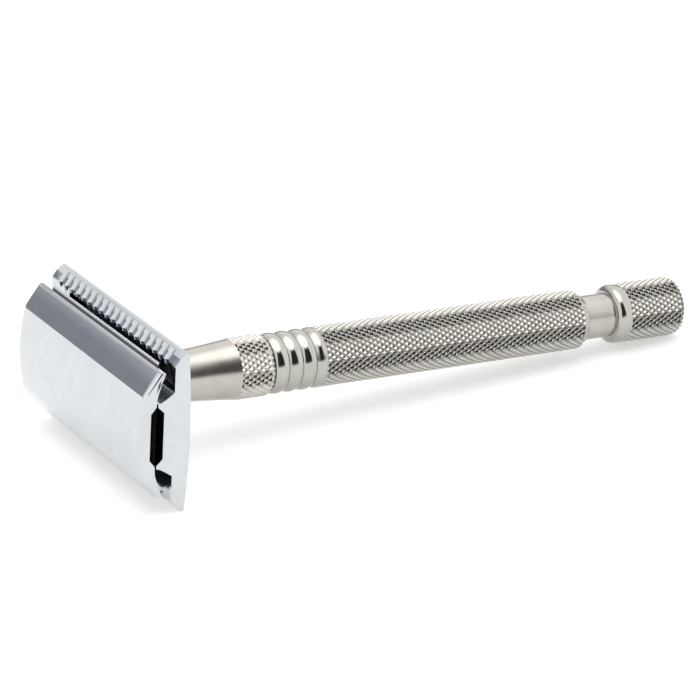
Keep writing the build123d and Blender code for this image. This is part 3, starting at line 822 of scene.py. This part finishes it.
knurl(
    "knob_knurl", "knob_drive", KNOB_RADIUS, KNOB_KNURL_START + KNURL_LAP, KNOB_END - 0.9,
    bend_start=KNOB_END - KNOB_END_ROUND, bend_radius=end_round,
)

# -------------------------------------------------------------- the fastening
stud_outline = rounded([
    (STUD_START, 0, 0),
    (STUD_START, STUD_CORE_RADIUS, 0),
    (STUD_POINT_START, STUD_CORE_RADIUS, 0.1),
    (STUD_END, STUD_POINT_RADIUS, 0.1),
    (STUD_END, 0, 0),
])
stud_shape = spun(stud_outline, STUD_SEGMENTS)
place("stud_core", stud_shape, "cap", "polished_steel", polished, "cap_stud")
stud_thread = grown("stud_thread", thread_tree, {
    "Root Radius": 1.6,
    "Depth": 0.39,
    "Pitch": 0.7,
    "Start": -5.2,
    "Length": 12.0,
    "Finish": polished,
})
settle("stud_thread", stud_thread, "cap", "polished_steel", smooth=20)

for name, material in (
    ("guide_post_near", polished), ("guide_post_far", polished), ("core_tube", brass),
    ("rod_guide", nylon), ("rear_bush", brass), ("thrust_washer", brass),
    ("spring_washer", spring), ("threaded_socket", brass), ("drive_rod", polished),
    ("socket_pin", polished), ("stem_pin", polished), ("stem_seal", rubber),
):
    node[name].data.materials.clear()
    node[name].data.materials.append(material)

# -------------------------------------------------------------- floor and light
floor_mesh = bpy.data.meshes.new("floor")
far = 3                       # from the middle to the floor's sides, in metres
floor_corners = [(-far, -far, 0), (far, -far, 0), (far, far, 0), (-far, far, 0)]
floor_mesh.from_pydata(floor_corners, [], [(0, 1, 2, 3)])
floor = bpy.data.objects.new("floor", floor_mesh)
bpy.context.scene.collection.objects.link(floor)
pale, _, pale_shader = new_material("pale_floor")
pale_shader.inputs["Base Color"].default_value = (0.58, 0.58, 0.58, 1)
pale_shader.inputs["Emission Color"].default_value = (1, 1, 1, 1)
pale_shader.inputs["Emission Strength"].default_value = 0.50
pale_shader.inputs["Roughness"].default_value = 0.9
pale_shader.inputs["Specular IOR Level"].default_value = 0.0
floor_mesh.materials.append(pale)

world = bpy.data.worlds.new("studio")
bpy.context.scene.world = world
world.use_nodes = True
sky = world.node_tree
background = sky.nodes["Background"]
direction = add(sky, "ShaderNodeTexCoord").outputs["Generated"]
split = add(sky, "ShaderNodeSeparateXYZ")
sky.links.new(direction, split.inputs[0])


def card(azimuth, elevation, half_width, half_height, soft):
    """1 inside a soft-edged patch of the studio, 0 outside. Angles are in degrees.

    Azimuth 0 lies along +Y and 90 along +X.
    """
    away = calc(sky, "ARCTAN2", split.outputs[0], split.outputs[1])
    off = calc(sky, "SUBTRACT", away, radians(azimuth))
    off = calc(sky, "ABSOLUTE", calc(sky, "WRAP", off, pi, -pi))
    up = calc(sky, "ARCSINE", split.outputs[2])
    rise = calc(sky, "ABSOLUTE", calc(sky, "SUBTRACT", up, radians(elevation)))
    inside = []
    for value, limit in ((off, half_width), (rise, half_height)):
        made = add(sky, "ShaderNodeMapRange", interpolation_type="SMOOTHSTEP")
        made.inputs["From Min"].default_value = radians(limit + soft / 2)
        made.inputs["From Max"].default_value = radians(limit - soft / 2)
        sky.links.new(value, made.inputs["Value"])
        inside.append(made.outputs["Result"])
    return calc(sky, "MULTIPLY", *inside)


def laid_over(colour, mask, patch):
    """A patch of light or shade laid over the studio."""
    made = add(sky, "ShaderNodeMix", data_type="RGBA")
    sky.links.new(mask, made.inputs["Factor"])
    if isinstance(colour, tuple):
        made.inputs["A"].default_value = (*colour, 1)
    else:
        sky.links.new(colour, made.inputs["A"])
    made.inputs["B"].default_value = (*patch, 1)
    return made.outputs["Result"]


STUDIO_CARDS = (
    # azimuth, elevation, half width, half height, soft edge, colour
    (150, 90, 180, 30, 16, (1.8, 1.8, 1.8)),          # the bright ceiling
    (-50, 30, 55, 24, 20, (0.84, 0.84, 0.85)),        # a pale grey wall
    (30, 7, 40, 12, 8, (0.45, 0.45, 0.46)),           # a grey strip on the far side
    (-32, 3, 30, 22, 24, (0.25, 0.255, 0.29)),        # a dark blue-grey card, low down
    (-179, 31, 33, 27, 12, (0.03, 0.028, 0.026)),     # a black card on the near side
)
studio = (1.0, 1.0, 1.0)
for *shape, colour in STUDIO_CARDS:
    studio = laid_over(studio, card(*shape), colour)
sky.links.new(studio, background.inputs["Color"])
background.inputs["Strength"].default_value = 1.4

# ------------------------------------------------------------------ the camera
scene = bpy.context.scene
scene.view_settings.view_transform = "Standard"
camera_data = bpy.data.cameras.new("camera")
camera = bpy.data.objects.new("camera", camera_data)
scene.collection.objects.link(camera)
scene.camera = camera
SENSOR_WIDTH = 36.0
FRAME_WIDTH = 700             # in the unit that the focal length is given in
FOCAL_LENGTH = 4093.5
camera_data.sensor_width = SENSOR_WIDTH
camera_data.lens = SENSOR_WIDTH * FOCAL_LENGTH / FRAME_WIDTH
camera_data.clip_start = 0.05
camera_data.clip_end = 20.0
turn = Matrix.Rotation(tilt, 3, "Y")
right = turn @ Vector((0.87375, -0.48376, 0.05033))
down = turn @ Vector((-0.12682, -0.32650, -0.93665))
ahead = turn @ Vector((0.46955, 0.81202, -0.34663))
facing = Matrix((right, -down, -ahead)).transposed().to_4x4()
standing = to_world @ Vector((-269.3, -536.5, 229.3))
camera.matrix_world = Matrix.Translation(standing) @ facing
